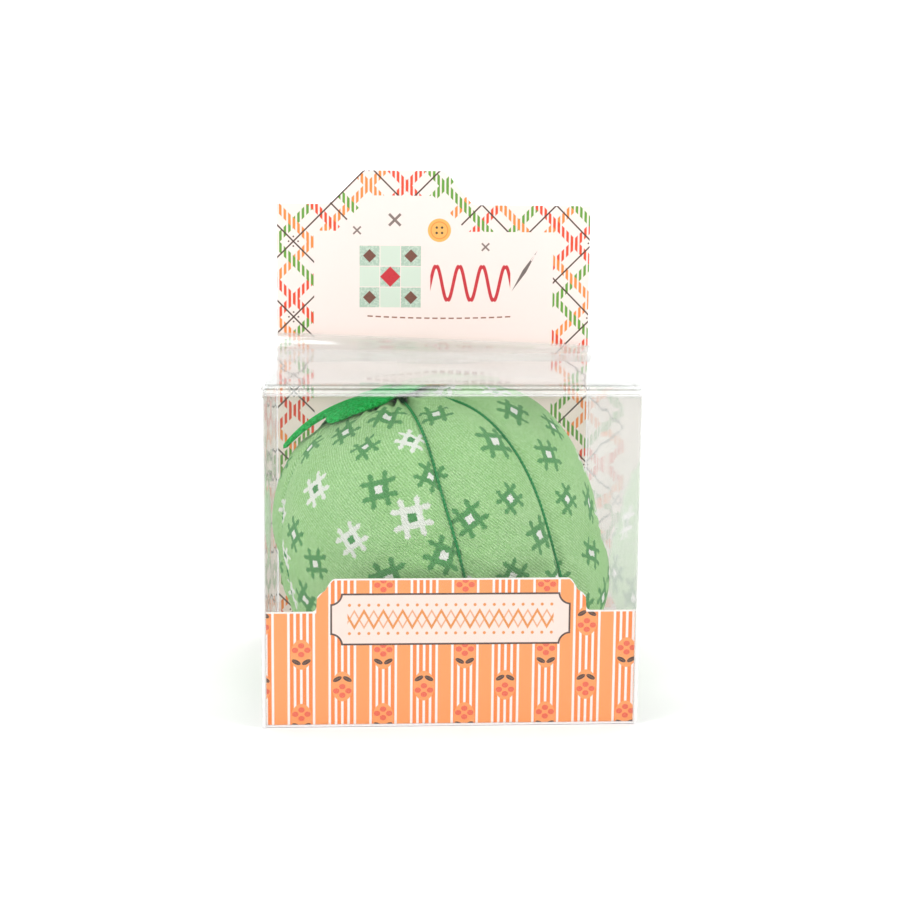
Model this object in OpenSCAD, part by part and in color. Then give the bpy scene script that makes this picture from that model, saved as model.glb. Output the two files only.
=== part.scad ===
// Tomato pincushion in its clear gift box.
// A round printed-cotton pincushion, divided into segments by wrapped floss and topped with a
// felt calyx, sits on a folded card insert inside a box folded from clear film. The card's back
// panel rises above the box as a header. The lid is hinged on the front wall, curls up into a
// rounded ridge at the back and tucks down in front of the header.
// Origin: centre of the box's base, on the surface it stands on. +Z up, front towards -Y.

/* [Box] */
// Outer width of the box, across its corner creases
box_w = 102; // [101:0.5:104]
// Outer depth of the box
box_d = 102; // [101.5:0.5:104]
// Height of the lid's front crease above the base
crease_h = 90.3; // [90:0.1:92]
// Thickness of the clear film
film = 0.35; // [0.25:0.05:0.4]
// Radius of the rolled creases
crease_r = 0.5; // [0.4:0.05:0.5]

/* [Lid] */
// Radius of the lid's rounded front bend
lid_bend_r = 2.5; // [2:0.1:3]
// Height of the lid's back ridge above its flat, left side
ridge_left = 4.8; // [3:0.1:6]
// Height of the lid's back ridge above its flat, right side
ridge_right = 2.3; // [1.5:0.1:4]
// Extra height of the lid's flat at the back left corner
lid_warp = 1.2; // [0:0.1:2]
// Length of the lid's tuck flap
tuck_len = 13.6; // [10:0.1:15]
// Lean of the tuck flap into the box, in degrees
tuck_lean = 5; // [4:0.5:7]
// Reach of the left dust flap from its crease
flap_left_len = 38; // [25:1:44]
// Reach of the right dust flap from its crease
flap_right_len = 48; // [25:1:48]
// Angle at which the dust flaps' front edges are cut back, in degrees
flap_cut = 43; // [42:1:48]

/* [Card insert] */
// Thickness of the printed card
card = 0.45; // [0.3:0.05:0.5]
// Width of the card insert
card_w = 99.8; // [98:0.1:99.9]
// Height of the front panel at its sides
front_h = 31.8; // [25:0.1:40]
// Height of the front panel's label tab
tab_h = 40.8; // [38:0.1:50]
// Width of the label tab at its foot
tab_w = 72.8; // [60:0.1:80]
// Height of the header's shoulders
header_h = 139.4; // [120:0.1:145]
// Height of the header's raised top
header_top = 150; // [146:0.1:160]

/* [Pincushion] */
// Diameter of the pincushion round its waist
cushion_w = 94.6; // [88:0.2:94.6]
// Height of the pincushion's crown above its waist, along the leaning pole
crown_h = 51.7; // [46:0.1:51.7]
// Depth of the pincushion's foot below its waist, along the leaning pole
foot_h = 35.6; // [34:0.1:36.5]
// Fullness of the crown: 2 is a ball, more is squarer
crown_fullness = 2.7; // [2:0.1:2.8]
// Fullness of the foot
foot_fullness = 3.2; // [2.4:0.1:3.4]
// Lean of the pincushion's pole towards the left, in degrees
pole_lean = 15; // [12:0.5:15]
// Thickness of the printed cotton cover with its backing
cover_t = 0.6; // [0.4:0.1:1]
// Radius of the wrapped floss
floss_r = 0.35; // [0.3:0.05:0.35]
// Thickness of the felt calyx
felt = 1.4; // [1:0.1:1.5]

/* [Hidden] */

half_w = box_w / 2 - crease_r;          // outer face of the side walls
half_d = box_d / 2 - crease_r;          // outer face of the front and back walls
inner_w = half_w - film;                // inner face of the side walls
inner_d = half_d - film;
flap_crease_h = crease_h + 1;           // creases of the two dust flaps
crease_gap = 0.2;                       // between a rolled crease and the wall under it
back_h = crease_h + 2;                  // top of the back wall
slip = 0.1;                             // play between pieces that slide past each other

// Card stack at the back, from the back wall inwards
card_back_y = inner_d - 0.95;           // front face of the card's back panel
card_front_y = -inner_d + slip;         // front face of the card's front panel
base_z = 2 * film + 0.1;                // underside of the card's base
front_foot_z = film + 0.05;             // lower edge of the card's front panel

// Lid, as points in the YZ plane
lid_hinge = [-half_d, crease_h];
lid_flat_z = crease_h + lid_bend_r;
lid_half_w = inner_w - 0.15;
ridge_foot_y = 37;
ridge_crest_y = ridge_foot_y + 9;
tuck_hinge = [card_back_y - crease_r - 0.3, crease_h + 1.6];
lid_end = tuck_hinge + [0, crease_r + 0.3];
lid_spans = 6;                          // strips from left to right

// Dust flaps
flap_front_y = -45;
flap_back_y = 44;
flap_back_cut = 8;                      // degrees

// Pincushion
waist_r = cushion_w / 2;
floss_lift = 0.14;                      // floss clear of the cover's facets
floss_out = floss_lift + 2 * floss_r;
flat_z = base_z + card + 0.1 + floss_out; // underside of the flattened foot
cushion_c = [0.5, -0.2, flat_z + 32.8]; // centre of the waist
dimple_r = 6;                           // radius of the ball that presses in each pole
crown_dimple_z = crown_h + 3.2;         // centres of those balls along the pole
foot_dimple_z = -foot_h - 0.6;
gather_r = 4;                           // radius of the ring of gathering thread
gather_drop = 3.96;                     // from a dimple ball's centre to that ring
core_r = 1.2;
felt_lift = floss_out + 0.04;           // felt lies on the floss
// Directions of the six wraps round the pole, in degrees from the right
wrap_at = [195, 276, 312, 15, 75, 135];
wrap_first = 9;                         // degrees from the pole to a wrap's end
wrap_rings = 37;
wrap_sides = 6;
// Felt lobes: direction round the pole and reach from it
lobes = [[180, 36], [226, 25], [290, 13], [358, 29], [50, 24], [115, 26]];
lobe_half_angle = 10;

film_colour = [0.86, 0.90, 0.92, 0.35];
card_colour = [0.99, 0.93, 0.90];
orange_colour = [1.0, 0.66, 0.42];
cotton_colour = [0.66, 0.84, 0.58];
floss_colour = [0.10, 0.50, 0.25];
felt_colour = [0.05, 0.62, 0.27];

// ---- helpers -------------------------------------------------------------------------------

// A sheet of film or card standing in the XZ plane, between two Y values
module standing_sheet(y0, y1) {
    translate([0, y1, 0]) rotate([90, 0, 0]) linear_extrude(y1 - y0) children();
}

module block(low, high) {
    translate(low) cube(high - low);
}

// A rolled crease: a thin rod between two points along X, Y or Z
module crease_x(x0, x1, y, z) {
    translate([x0, y, z]) rotate([0, 90, 0]) cylinder(h = x1 - x0, r = crease_r, $fn = 24);
}
module crease_y(y0, y1, x, z) {
    translate([x, y0, z]) rotate([-90, 0, 0]) cylinder(h = y1 - y0, r = crease_r, $fn = 24);
}
module crease_z(z0, z1, x, y) {
    translate([x, y, z0]) cylinder(h = z1 - z0, r = crease_r, $fn = 24);
}

// Points along a Bezier curve, without its first one
function bezier(p, q, r, s, steps) =
    [for (i = [1:steps]) let (t = i / steps, u = 1 - t)
        u * u * u * p + 3 * u * u * t * q + 3 * u * t * t * r + t * t * t * s];

function unit(v) = v / norm(v);

// ---- clear box -----------------------------------------------------------------------------

wall_top = crease_h - crease_r - crease_gap;
side_top = flap_crease_h - crease_r - crease_gap;

module front_wall() {
    color(film_colour)
        block([-half_w + crease_r, -half_d, 0], [half_w - crease_r, -inner_d, wall_top]);
}

module back_wall() {
    color(film_colour) {
        block([-half_w + crease_r, inner_d, 0], [half_w - crease_r, half_d, back_h]);
        crease_x(-half_w + crease_r, half_w - crease_r, half_d, back_h);
    }
}

// Side wall with the two vertical corner creases; side is -1 for left and 1 for right
module side_wall(side) {
    x0 = side < 0 ? -half_w : inner_w;
    color(film_colour) {
        block([x0, -half_d, 0], [x0 + film, half_d, wall_top]);
        block([x0, -half_d + 2, 0], [x0 + film, half_d, side_top]);
        crease_z(0, wall_top, side * half_w, -half_d);
        crease_z(0, wall_top, side * half_w, half_d);
    }
}

module side_seam_flap() {
    color(film_colour)
        block([-inner_w + 0.05, inner_d - film, 15], [-inner_w + 12, inner_d, 87]);
}

module bottom_panel() {
    color(film_colour)
        block([-inner_w + 0.05, -inner_d + 0.05, 0], [inner_w - 0.05, inner_d - 0.05, film]);
}

module bottom_tuck_flap() {
    y1 = inner_d - 0.05;
    color(film_colour)
        standing_sheet(y1 - film, y1)
            polygon([[-48, film], [48, film], [48, 9], [43, 14], [-43, 14], [-48, 9]]);
}

module bottom_dust_flap(side) {
    tip = 36;
    color(film_colour)
        translate([0, 0, film + 0.02]) linear_extrude(film)
            polygon([for (p = [[0, -46], [tip - 6, -42], [tip, -36], [tip, 36], [tip - 6, 42], [0, 46]])
                [side * (inner_w - 0.05 - p[0]), p[1]]]);
}

// Lid: the film's centre line in the YZ plane at share s of the way from left to right
function lid_line(s) =
    let (foot = lid_flat_z + lid_warp * (1 - s),
         top = foot + ridge_left + (ridge_right - ridge_left) * s,
         bend_end = [lid_hinge[0] + lid_bend_r, lid_flat_z],
         rise = [ridge_foot_y, foot],
         crest = [ridge_crest_y, top])
    concat(
        [lid_hinge],
        [for (a = [150:-15:90]) lid_hinge + [lid_bend_r, 0] + lid_bend_r * [cos(a), sin(a)]],
        [for (i = [1:5]) bend_end + (rise - bend_end) * i / 5],
        bezier(rise, rise + [4, 0.1], crest - [3.2, 0], crest, 7),
        bezier(crest, crest + [1.9, 0], [lid_end[0], top - 0.6], lid_end, 6));

function offset_line(line, by) =
    [for (i = [0:len(line) - 1])
        let (d = unit(line[min(i + 1, len(line) - 1)] - line[max(i - 1, 0)]))
        line[i] + by * [-d[1], d[0]]];

// A closed loop of the film's section at share s, as points in space
function lid_ring(s) =
    let (line = lid_line(s), up = offset_line(line, film / 2), down = offset_line(line, -film / 2),
         n = len(line), x = -lid_half_w + 2 * lid_half_w * s)
    concat([for (p = up) [x, p[0], p[1]]], [for (i = [n - 1:-1:0]) [x, down[i][0], down[i][1]]]);

// A thin sheet through loops of points, each loop out along one face and back along the other
module sheet_loft(rings) {
    m = len(rings[0]);
    last = (len(rings) - 1) * m;
    sides = [for (k = [0:len(rings) - 2], i = [0:m - 1])
        let (a = k * m + i, b = k * m + (i + 1) % m) each [[a, b, b + m], [a, b + m, a + m]]];
    cap = [for (i = [0:m / 2 - 2]) each [[i, i + 1, m - 2 - i], [i, m - 2 - i, m - 1 - i]]];
    polyhedron(
        points = [for (r = rings, p = r) p],
        faces = concat(sides, [for (f = cap) [f[2], f[1], f[0]]], [for (f = cap) [for (v = f) v + last]]));
}

module lid() {
    color(film_colour) {
        sheet_loft([for (k = [0:lid_spans]) lid_ring(k / lid_spans)]);
        crease_x(-lid_half_w, lid_half_w, lid_hinge[0], lid_hinge[1]);
    }
}

module lid_tuck_flap() {
    corner = 4;
    w = lid_half_w - 1;
    color(film_colour) {
        translate([0, tuck_hinge[0], tuck_hinge[1]]) rotate([-tuck_lean, 0, 0])
            standing_sheet(-film / 2, film / 2)
                polygon([[-w, -0.3], [w, -0.3], [w, corner - tuck_len], [w - corner, -tuck_len],
                         [corner - w, -tuck_len], [-w, corner - tuck_len]]);
        crease_x(1 - w, w - 1, tuck_hinge[0], tuck_hinge[1]);
    }
}

module dust_flap(side, reach) {
    front_tip = flap_front_y + reach * tan(flap_cut);
    back_tip = flap_back_y - reach * tan(flap_back_cut);
    color(film_colour) {
        translate([0, 0, flap_crease_h - film / 2]) linear_extrude(film)
            polygon([for (p = [[0, flap_front_y], [reach - 2, front_tip - 2], [reach, front_tip],
                               [reach, back_tip - 2], [reach - 2, back_tip], [0, flap_back_y]])
                [side * (half_w - p[0]), p[1]]]);
        crease_y(flap_front_y, flap_back_y, side * half_w, flap_crease_h);
    }
}

// ---- card insert ---------------------------------------------------------------------------

// Front panel: straight sides and a raised label tab with stepped, rounded shoulders
module card_front_outline() {
    w = card_w / 2;
    foot = tab_w / 2;
    step = foot - 4.4;                   // half width of the tab's top
    half = [[w, front_foot_z], [w, front_h], [foot + 1, front_h], [foot + 0.3, front_h + 0.4],
            [foot, front_h + 1.2], [foot - 0.2, tab_h - 5.0], [foot - 0.9, tab_h - 4.2],
            [foot - 2.3, tab_h - 3.3], [step + 0.8, tab_h - 1.0], [step, tab_h - 0.2], [step - 0.6, tab_h]];
    polygon(concat(half, [for (i = [len(half) - 1:-1:0]) [-half[i][0], half[i][1]]]));
}

// Back panel with the header: square shoulders and a raised top, left of centre
module card_back_outline() {
    w = card_w / 2;
    dome = [[-34.5, 0], [-33.2, 0.35], [-32.2, 1.1], [-23.2, 10.1], [-22.4, 10.6], [2.4, 10.6],
            [4.3, 9.6], [11.2, 1.2], [12.2, 0.35], [13.6, 0]];
    rise = header_top - header_h;
    polygon(concat([[-w, base_z], [-w, header_h]],
                   [for (p = dome) [p[0], header_h + p[1] * rise / 10.6]],
                   [[w, header_h], [w, base_z]]));
}

module card_front() {
    color(orange_colour)
        standing_sheet(card_front_y, card_front_y + card) card_front_outline();
}

module card_base() {
    color(card_colour)
        block([-card_w / 2, card_front_y + card, base_z], [card_w / 2, card_back_y, base_z + card]);
}

module card_back() {
    color(card_colour)
        standing_sheet(card_back_y, card_back_y + card) card_back_outline();
}

// ---- pincushion ----------------------------------------------------------------------------

// What follows the pincushion's leaning pole is drawn upright round the origin and set here
module on_pole() {
    translate(cushion_c) rotate([0, -pole_lean, 0]) children();
}
function leaned(v) =
    [v[0] * cos(pole_lean) - v[2] * sin(pole_lean), v[1], v[0] * sin(pole_lean) + v[2] * cos(pole_lean)];

// A point of the upright profile, t degrees from the pole, moved out along its normal by up
function profile_point(t, up) =
    let (h = t < 90 ? crown_h : foot_h, n = t < 90 ? crown_fullness : foot_fullness,
         k = pow(pow(sin(t) / waist_r, n) + pow(abs(cos(t)) / h, n), -1 / n),
         p = k * [sin(t), cos(t)],
         out = unit([pow(p[0] / waist_r, n - 1) / waist_r,
                     sign(p[1]) * pow(abs(p[1]) / h, n - 1) / h]))
    p + up * out;

// The same point in space, at direction a round the pole; the foot is pressed flat
function form_point(a, t, up) =
    let (q = profile_point(t, up), w = cushion_c + leaned([q[0] * cos(a), q[0] * sin(a), q[1]]))
    [w[0], w[1], max(w[2], flat_z - up)];

// The pincushion's plain outer form, grown by up
module form(up) {
    steps = 48;
    difference() {
        on_pole() rotate_extrude($fn = 96)
            polygon(concat([[0, crown_h + up]],
                [for (i = [1:steps - 1]) profile_point(180 * i / steps, up)],
                [[0, -foot_h - up]]));
        block([-60, -60, -20], [60, 60, flat_z - up]);
    }
}

// The form with a dimple pressed in at each pole
module cushion_form(inset) {
    difference() {
        form(-inset);
        on_pole() for (z = [crown_dimple_z, foot_dimple_z])
            translate([0, 0, z]) sphere(r = dimple_r + inset, $fn = 48);
    }
}

module core_bore() {
    on_pole() cylinder(h = 3 * crown_h, r = core_r + 0.05, center = true, $fn = 32);
}

module fabric_cover() {
    color(cotton_colour) difference() {
        cushion_form(0);
        cushion_form(cover_t);
        core_bore();
    }
}

module stuffing() {
    color([0.93, 0.91, 0.86]) difference() {
        cushion_form(cover_t + 0.03);
        core_bore();
    }
}

module core_thread() {
    foot = foot_dimple_z + gather_drop;
    color(floss_colour) on_pole() translate([0, 0, foot])
        cylinder(h = crown_h - 0.4 - foot, r = core_r, $fn = 32);
}

// A ring of points round a wrap at direction a, t degrees from the pole
function wrap_ring(a, t) =
    let (up = floss_r + floss_lift, p = form_point(a, t, up),
         along = unit(form_point(a, t + 1, up) - p), out = form_point(a, t, up + 1) - p,
         side = unit(cross(along, out)), n = cross(side, along))
    [for (k = [0:wrap_sides - 1]) let (c = 360 * k / wrap_sides) p + floss_r * (cos(c) * side + sin(c) * n)];

module tube(rings) {
    n = len(rings);
    m = len(rings[0]);
    polyhedron(
        points = [for (r = rings, p = r) p],
        faces = concat([[for (i = [0:m - 1]) i]],
            [for (k = [0:n - 2], i = [0:m - 1])
                let (a = k * m + i, b = k * m + (i + 1) % m) each [[b, a, a + m], [b, a + m, b + m]]],
            [[for (i = [m - 1:-1:0]) (n - 1) * m + i]]));
}

module wrap_threads() {
    span = 180 - 2 * wrap_first;
    color(floss_colour) for (a = wrap_at)
        tube([for (k = [0:wrap_rings]) wrap_ring(a, wrap_first + span * k / wrap_rings)]);
}

// A ring of gathering thread z up the pole
module gather_thread(z) {
    color(floss_colour) on_pole() translate([0, 0, z])
        rotate_extrude($fn = 48) translate([gather_r, 0]) circle(r = floss_r, $fn = 16);
}

// Flat outline of the felt calyx: pointed lobes with hollow sides
module calyx_outline() {
    n = len(lobes);
    polygon([for (i = [0:n - 1]) let (
            a = lobes[i][0], r = lobes[i][1], b = lobes[(i + 1) % n][0], next = b < a ? b + 360 : b,
            spots = [[a - lobe_half_angle * 1.5, r * 0.42], [a - lobe_half_angle, r * 0.66],
                     [a - 2, r * 0.98], [a + 2, r * 0.98],
                     [a + lobe_half_angle, r * 0.66], [a + lobe_half_angle * 1.5, r * 0.42],
                     [(a + next) / 2, 7.5]])
        for (s = spots) s[1] * [cos(s[0]), sin(s[0])]]);
}

module leaf_calyx() {
    color(felt_colour) intersection() {
        difference() {
            form(felt_lift + felt);
            form(felt_lift);
        }
        on_pole() linear_extrude(crown_h + 20) calyx_outline();
    }
}

module calyx_stitch() {
    r = 0.4;
    top = crown_h + felt_lift + felt + r + 0.1;
    color(floss_colour) on_pole() for (k = [0, 1])
        translate([0, 0, top + k * 0.6]) rotate([0, 90, 35 + 90 * k])
            cylinder(h = 5, r = r, center = true, $fn = 20);
}

front_wall();
back_wall();
side_wall(-1);  // left_wall
side_wall(1);  // right_wall
side_seam_flap();
bottom_panel();
bottom_tuck_flap();
bottom_dust_flap(-1);  // bottom_dust_flap_left
bottom_dust_flap(1);  // bottom_dust_flap_right
lid();
lid_tuck_flap();
dust_flap(-1, flap_left_len);  // dust_flap_left
dust_flap(1, flap_right_len);  // dust_flap_right
card_front();
card_base();
card_back();
fabric_cover();
stuffing();
wrap_threads();
core_thread();
gather_thread(crown_dimple_z - gather_drop);  // top_gather_thread
gather_thread(foot_dimple_z + gather_drop);  // bottom_gather_thread
leaf_calyx();
calyx_stitch();
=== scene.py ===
"""Looks of the tomato pincushion in its clear gift box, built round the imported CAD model."""
import math
import random

import bpy
import numpy as np
from mathutils import Euler, Matrix, Vector


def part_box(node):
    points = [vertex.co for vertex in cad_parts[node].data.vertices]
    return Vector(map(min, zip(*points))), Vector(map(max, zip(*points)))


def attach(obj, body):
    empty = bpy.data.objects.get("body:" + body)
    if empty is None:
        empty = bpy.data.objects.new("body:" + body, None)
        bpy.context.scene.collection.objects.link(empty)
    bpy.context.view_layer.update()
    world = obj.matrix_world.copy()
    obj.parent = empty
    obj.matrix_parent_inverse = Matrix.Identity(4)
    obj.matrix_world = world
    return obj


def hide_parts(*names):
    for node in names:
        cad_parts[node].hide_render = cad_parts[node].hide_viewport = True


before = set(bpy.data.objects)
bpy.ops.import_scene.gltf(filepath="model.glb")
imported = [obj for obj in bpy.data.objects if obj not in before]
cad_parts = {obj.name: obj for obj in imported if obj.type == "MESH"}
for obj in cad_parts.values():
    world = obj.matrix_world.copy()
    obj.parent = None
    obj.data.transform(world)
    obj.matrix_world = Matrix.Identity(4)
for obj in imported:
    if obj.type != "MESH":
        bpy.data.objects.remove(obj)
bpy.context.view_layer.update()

MM = 0.001

# ---- sizes that the CAD model sets, in millimetres -------------------------------------------


def low(node):
    return np.array(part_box(node)[0]) / MM


def high(node):
    return np.array(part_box(node)[1]) / MM


CREASE_R = 0.5
CORNER = high("right_wall")[0] - CREASE_R        # middle of the corner creases, in X and in Y
LID_CREASE_Z = low("lid")[2] + CREASE_R
INNER_HALF_W = high("bottom_panel")[0]
CARD_FRONT_FACE = low("card_front")[1]
CARD_BACK_FACE = low("card_back")[1]
TAB_H = high("card_front")[2]
HEADER_TOP = high("card_back")[2]
FOOT_Z = low("fabric_cover")[2]

# The pincushion's form, as in the CAD model: a squarish ball round a leaning pole
WAIST_R = 47.3
CROWN_H = 51.7
FOOT_H = 35.6
CROWN_FULLNESS = 2.7
FOOT_FULLNESS = 3.2
POLE_LEAN = math.radians(15)
WAIST_C = np.array([0.5, -0.2, FOOT_Z + 32.8])
WRAP_AT = np.radians([195, 276, 312, 15, 75, 135])
GATHER_R = 4.0

# ---- colours ---------------------------------------------------------------------------------


def rgb(red, green, blue):
    """Linear colour from the usual 0 to 255 values."""
    def linear(v):
        v /= 255
        return v / 12.92 if v <= 0.04045 else ((v + 0.055) / 1.055) ** 2.4
    return (linear(red), linear(green), linear(blue), 1.0)


COTTON = rgb(170, 222, 144)
COTTON_LIGHT = rgb(214, 250, 194)
MOTIF_GREEN = rgb(66, 146, 76)
MOTIF_WHITE = rgb(250, 252, 245)
FLOSS = rgb(4, 124, 56)
FELT = rgb(4, 172, 64)
FELT_LIGHT = rgb(40, 212, 100)
ORANGE = rgb(255, 160, 88)
STRIPE = rgb(255, 136, 52)
CORAL = rgb(238, 100, 68)
BROWN = rgb(66, 40, 30)
PAPER = rgb(252, 246, 242)
LABEL = rgb(251, 231, 221)
BLUSH = rgb(255, 237, 231)
PLAID_ORANGE = rgb(248, 140, 56)
PLAID_RED = rgb(234, 66, 24)
PLAID_GREEN = rgb(96, 160, 46)
RED = rgb(206, 22, 44)
MINT = rgb(176, 200, 182)
MINT_LIGHT = rgb(216, 230, 214)
GOLD = rgb(250, 184, 92)
CARD_BACK = rgb(236, 229, 221)

# ---- shader building -------------------------------------------------------------------------


class Value:
    """A number in a material that can be worked out with plain arithmetic."""

    def __init__(self, graph, socket):
        self.graph = graph
        self.socket = socket

    def _math(self, operation, *others):
        node = self.graph.tree.nodes.new("ShaderNodeMath")
        node.operation = operation
        for slot, part in zip(node.inputs, (self, *others)):
            self.graph.feed(slot, part)
        return Value(self.graph, node.outputs[0])

    def __add__(self, other):
        return self._math("ADD", other)

    def __sub__(self, other):
        return self._math("SUBTRACT", other)

    def __rsub__(self, other):
        return (self * -1) + other

    def __mul__(self, other):
        return self._math("MULTIPLY", other)

    def __truediv__(self, other):
        return self._math("DIVIDE", other)

    def __abs__(self):
        return self._math("ABSOLUTE")

    __radd__ = __add__
    __rmul__ = __mul__

    def least(self, other):
        return self._math("MINIMUM", other)

    def most(self, other):
        return self._math("MAXIMUM", other)

    def power(self, other):
        return self._math("POWER", other)

    def sine(self):
        return self._math("SINE")

    def root(self):
        return self._math("SQRT")

    def floor(self):
        return self._math("FLOOR")

    def fraction(self):
        return self._math("FRACT")

    def wrapped(self, period):
        """Distance to the nearest whole multiple of period, signed."""
        return (self / period + 0.5).fraction() * period - period / 2

    def clamped(self):
        return self.most(0.0).least(1.0)

    def inside(self, edge, soft=0.05):
        """1 where this value is under edge, with a soft border."""
        return ((edge - self) / soft + 0.5).clamped()

    def outside(self, edge, soft=0.05):
        """1 where this value is over edge, with a soft border."""
        return ((self - edge) / soft + 0.5).clamped()


class Graph:
    """The node tree of one material, with the few nodes that the materials here share."""

    def __init__(self, name):
        self.material = bpy.data.materials.new(name)
        self.material.use_nodes = True
        self.tree = self.material.node_tree
        self.tree.nodes.clear()
        self.output = self.tree.nodes.new("ShaderNodeOutputMaterial")

    def feed(self, slot, part):
        if isinstance(part, Value):
            self.tree.links.new(part.socket, slot)
        elif isinstance(part, bpy.types.NodeSocket):
            self.tree.links.new(part, slot)
        else:
            slot.default_value = part

    def node(self, kind, **parts):
        made = self.tree.nodes.new("ShaderNode" + kind)
        for name, part in parts.items():
            self.feed(made.inputs[name.replace("_", " ")], part)
        return made

    def place(self):
        """Object coordinates in millimetres, as a vector and as three values."""
        where = self.node("TexCoord").outputs["Object"]
        scaled = self.tree.nodes.new("ShaderNodeVectorMath")
        scaled.operation = "SCALE"
        self.feed(scaled.inputs[0], where)
        scaled.inputs["Scale"].default_value = 1 / MM
        return scaled.outputs[0], *self.split(scaled.outputs[0])

    def split(self, vector):
        parts = self.node("SeparateXYZ", Vector=vector)
        return tuple(Value(self, parts.outputs[i]) for i in range(3))

    def uv(self, name):
        """A UV map as its vector and its two values."""
        made = self.tree.nodes.new("ShaderNodeUVMap")
        made.uv_map = name
        across, along, _ = self.split(made.outputs[0])
        return made.outputs[0], across, along

    def noise(self, vector, scale, detail=2.0, roughness=0.5):
        made = self.node("TexNoise", Vector=vector, Scale=scale, Detail=detail, Roughness=roughness)
        return Value(self, made.outputs["Fac"])

    def mix(self, share, first, second):
        """Colour that is first where share is 0 and second where it is 1."""
        made = self.tree.nodes.new("ShaderNodeMix")
        made.data_type = "RGBA"
        self.feed(made.inputs["Factor"], share)
        self.feed(made.inputs[6], first)
        self.feed(made.inputs[7], second)
        return made.outputs[2]

    def bump(self, height, distance, strength=1.0, normal=None):
        made = self.node("Bump", Height=height, Distance=distance * MM, Strength=strength)
        if normal is not None:
            self.feed(made.inputs["Normal"], normal)
        return made.outputs[0]

    def surface(self, colour, roughness, normal=None, **sockets):
        """A Principled surface as this material's result."""
        made = self.node("BsdfPrincipled", **sockets)
        self.feed(made.inputs["Base Color"], colour)
        self.feed(made.inputs["Roughness"], roughness)
        if normal is not None:
            self.feed(made.inputs["Normal"], normal)
        self.feed(self.output.inputs["Surface"], made.outputs[0])
        return made


# ---- materials -------------------------------------------------------------------------------


def clear_film(name, haze_and_painted_reflection_strength, wave, edge_tint, glare, cut_x=None):
    """Clear folded film: light passes straight through, and more of it reflects at a glancing angle.
    The folds are whitened, partly as stress whitening and partly as a painted highlight; along the
    base the whitening is painted light over the shadow line under the box. A white veil that grows at
    glancing angles is partly the film's milkiness and partly painted reflection, strongest on the lid.
    A flap's cut edge shows at cut_x."""
    g = Graph(name)
    where, x, y, z = g.place()
    ripple = g.noise(where, 0.026, 0.4) + g.noise(where, 0.09, 0.0) * 0.06
    normal = g.bump(ripple, wave)
    weight = g.node("LayerWeight", Blend=0.5)
    g.feed(weight.inputs["Normal"], normal)
    glancing = Value(g, weight.outputs["Facing"])
    mirror = glancing.power(5.0) * (0.75 - glare) + glare
    path = glancing.power(3.0)
    through = g.node("BsdfTransparent")
    g.feed(through.inputs["Color"], g.mix(path, (0.995, 0.995, 0.995, 1), edge_tint))
    gloss = g.node("BsdfGlossy", Color=(0.86, 0.87, 0.865, 1), Roughness=0.05)
    g.feed(gloss.inputs["Normal"], normal)
    veil = g.node("BsdfDiffuse", Color=(0.96, 0.96, 0.96, 1))
    # white veil that grows at glancing angles: partly the film's milkiness, partly painted reflection
    # of the bright surroundings
    dusty = (g.noise(where, 0.05, 3.0) * 1.2 + 0.4) * (path * 1.5 + 0.3)

    # white along the upright corners, the lid's crease and the base, and at cut edges: partly stress
    # whitening of the folds, partly painted highlight on the creases and cut edges; along the base it
    # is painted light that lifts the shadow line under the box
    bend = CORNER + 0.2
    upright = ((abs(x) - bend).power(2) + (abs(y) - bend).power(2)).root().inside(0.75, 0.6)
    in_wall = abs(y).outside(CORNER - 0.6, 0.3)
    crease_white_and_painted_highlight = abs(z - LID_CREASE_Z - 0.1).inside(0.12, 0.3) * in_wall * 0.7
    # painted light: whitening along the bottom edge of the walls that lifts the dark shadow line under
    # the box, partly also stress whitening of the bottom folds
    base = z.inside(0.55, 0.3) * in_wall
    if cut_x is None:
        cut = abs(x).outside(CORNER - 0.75, 0.2) * z.outside(LID_CREASE_Z + 1.7, 0.3)
    else:
        cut = abs(x - cut_x).inside(0.3, 0.3)
    fold_white_and_painted_light = upright.most(crease_white_and_painted_highlight).most(cut).most(base)

    # milkiness and painted reflection together, kept off the front wall
    haze_and_painted_reflection = dusty * haze_and_painted_reflection_strength * y.outside(-46, 3)
    veil_mix_with_painted_light = g.node("MixShader", Fac=(haze_and_painted_reflection + fold_white_and_painted_light * 0.7).clamped())
    g.feed(veil_mix_with_painted_light.inputs[1], through.outputs[0])
    g.feed(veil_mix_with_painted_light.inputs[2], veil.outputs[0])
    glossed = g.node("MixShader", Fac=mirror)
    g.feed(glossed.inputs[1], veil_mix_with_painted_light.outputs[0])
    g.feed(glossed.inputs[2], gloss.outputs[0])
    g.feed(g.output.inputs["Surface"], glossed.outputs[0])
    return g.material


def card_finish(g, where, colour, roughness=0.42):
    """Printed, coated card: fine fibre in the colour and a faintly uneven surface."""
    fibre = g.noise(where, 2.2, 4.0, 0.65)
    toned = g.mix((fibre * 0.10).clamped(), colour, rgb(214, 196, 184))
    relief = g.noise(where, 0.06, 2.0) * 1.0 + fibre * 0.02
    g.surface(toned, fibre * 0.14 + (roughness - 0.07), g.bump(relief, 0.22),
              Specular_IOR_Level=0.35)


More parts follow.
